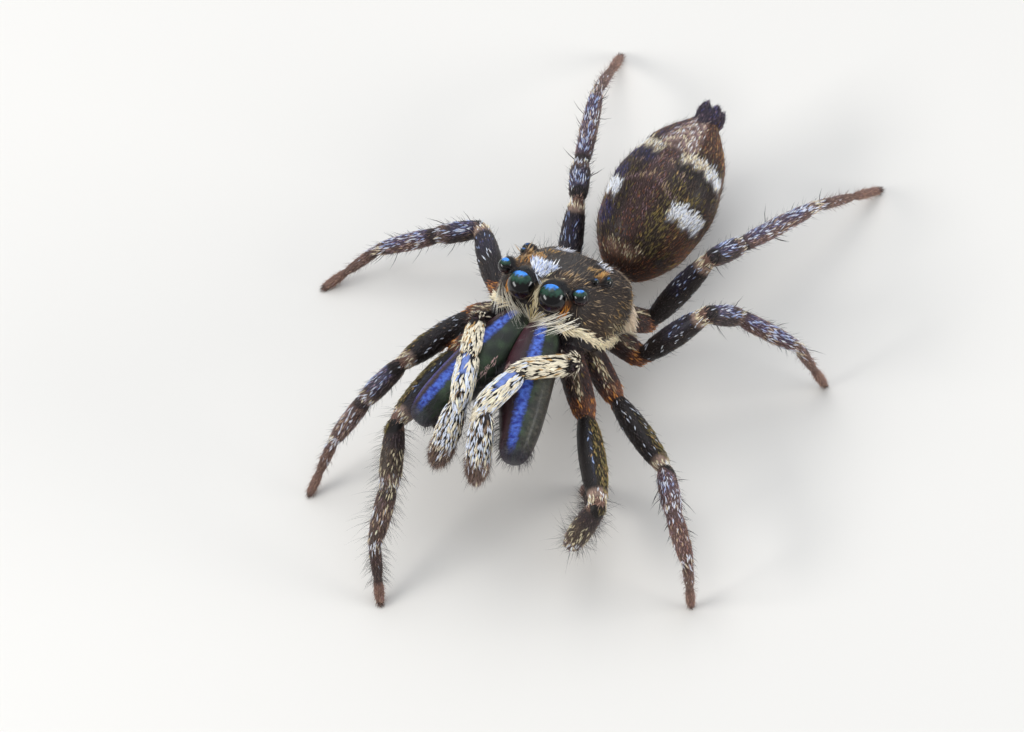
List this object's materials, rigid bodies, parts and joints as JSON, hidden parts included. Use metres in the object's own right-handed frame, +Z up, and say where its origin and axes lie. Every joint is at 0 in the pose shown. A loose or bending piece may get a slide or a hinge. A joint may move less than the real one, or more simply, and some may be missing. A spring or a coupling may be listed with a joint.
{
  "type": "jumping spider museum model",
  "caption": "Life-size still model of a male jumping spider, front of the body raised, long jaws and feelers held forward, legs set on level ground.",
  "frame": {"origin": "centre of the bounding box in plan, at ground level under the feet", "axes": "-Y ahead of the spider, +X to its left, +Z up from the ground it stands on"},
  "size_m": [0.0078, 0.0096, 0.0028],
  "materials": {
    "eye_lens": "polished dark lens with blue and green depth",
    "carapace_coat": "short lying scales, black-brown with bronze, tan and white",
    "abdomen_coat": "short lying scales, dark brown with white patches",
    "underside": "thinly haired brown cuticle",
    "chelicera": "glossy cuticle, blue sheen along the front",
    "fang": "glossy dark red-brown",
    "palp_scales": "cream and white scales over dark cuticle",
    "leg_scales": "dark brown with pale scale rings",
    "foot_bristles": "rust-brown with fine bristles"
  },
  "bodies": {
    "root": {"abdomen": "abdomen_coat", "carapace": "carapace_coat", "chelicera_left": "chelicera", "chelicera_right": "chelicera", "coxa_1_left": "leg_scales", "coxa_1_right": "leg_scales", "coxa_2_left": "leg_scales", "coxa_2_right": "leg_scales", "coxa_3_left": "leg_scales", "coxa_3_right": "leg_scales", "coxa_4_left": "leg_scales", "coxa_4_right": "leg_scales", "eye_front_lateral_left": "eye_lens", "eye_front_lateral_right": "eye_lens", "eye_middle_lateral_left": "eye_lens", "eye_middle_lateral_right": "eye_lens", "eye_principal_left": "eye_lens", "eye_principal_right": "eye_lens", "eye_rear_lateral_left": "eye_lens", "eye_rear_lateral_right": "eye_lens", "fang_left": "fang", "fang_right": "fang", "femur_1_left": "leg_scales", "femur_1_right": "leg_scales", "femur_2_left": "leg_scales", "femur_2_right": "leg_scales", "femur_3_left": "leg_scales", "femur_3_right": "leg_scales", "femur_4_left": "leg_scales", "femur_4_right": "leg_scales", "foot_1_left": "foot_bristles", "foot_1_right": "foot_bristles", "foot_2_left": "foot_bristles", "foot_2_right": "foot_bristles", "foot_3_left": "foot_bristles", "foot_3_right": "foot_bristles", "foot_4_left": "foot_bristles", "foot_4_right": "foot_bristles", "palp_cymbium_left": "palp_scales", "palp_cymbium_right": "palp_scales", "palp_femur_left": "palp_scales", "palp_femur_right": "palp_scales", "palp_tibia_left": "palp_scales", "palp_tibia_right": "palp_scales", "pedicel": "underside", "spinnerets": "underside", "sternum": "underside", "tibia_1_left": "leg_scales", "tibia_1_right": "leg_scales", "tibia_2_left": "leg_scales", "tibia_2_right": "leg_scales", "tibia_3_left": "leg_scales", "tibia_3_right": "leg_scales", "tibia_4_left": "leg_scales", "tibia_4_right": "leg_scales"}
  },
  "joints": []
}
